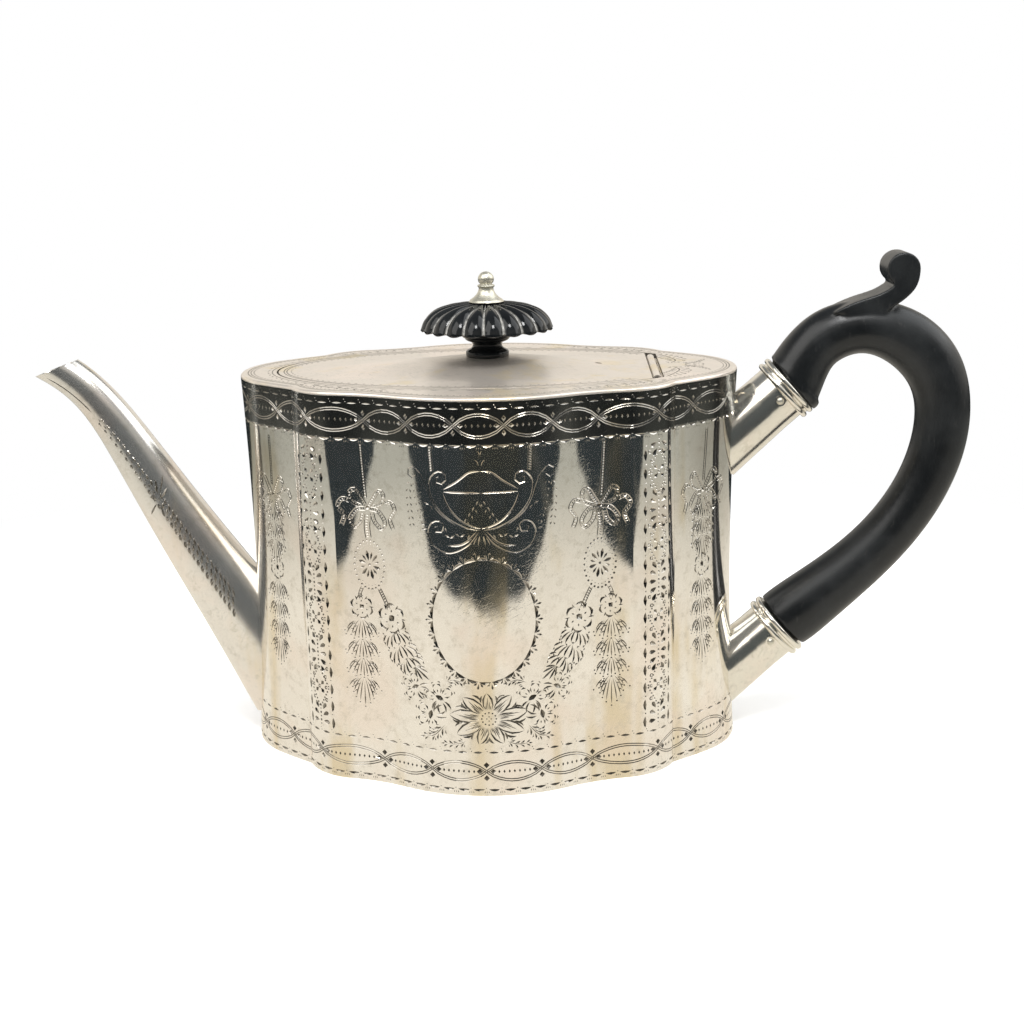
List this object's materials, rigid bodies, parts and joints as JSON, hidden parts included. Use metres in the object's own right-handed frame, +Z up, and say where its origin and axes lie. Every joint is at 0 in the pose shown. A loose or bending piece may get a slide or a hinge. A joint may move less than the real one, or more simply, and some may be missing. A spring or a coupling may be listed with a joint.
{
  "type": "teapot",
  "caption": "Engraved silver teapot of shaped oval plan with a flush hinged lid, straight tapered spout and ebonised wood loop handle pinned into two sockets.",
  "frame": {"origin": "centre of the base, on the table", "axes": "+Z up, +X towards the handle, -X towards the spout, XZ is the plane of symmetry"},
  "size_m": [0.2752, 0.1054, 0.1438],
  "materials": {
    "silver": "hand polished, bright-cut engraving, light tarnish and fine scratches",
    "ebonised_wood": "satin black, worn smooth",
    "ebony": "polished black, ridges worn pale",
    "nickel_silver": "polished, slightly yellow"
  },
  "bodies": {
    "pot": {"body_wall": "silver", "base_plate": "silver", "deck_plate": "silver", "lid_seat": "silver", "hinge_deck_leaf": "silver", "hinge_pin": "silver", "spout": "silver", "upper_socket": "silver", "lower_socket": "silver", "upper_socket_collar": "silver", "lower_socket_collar": "silver", "upper_handle_pin": "silver", "lower_handle_pin": "silver", "pin_washers": "silver", "handle": "ebonised_wood"},
    "lid": {"lid_plate": "silver", "lid_flange": "silver", "hinge_lid_leaf": "silver", "knob_pedestal": "ebony", "knob_button": "ebony", "knob_finial": "nickel_silver", "knob_stud": "nickel_silver", "knob_washer": "nickel_silver", "knob_nut": "nickel_silver"}
  },
  "joints": [
    {"name": "lid_hinge", "type": "hinge", "parent": "pot", "child": "lid", "pos_m": [0.0485, 0, 0.11095], "axis": [0, 1, 0], "range_deg": [0, 95]}
  ]
}
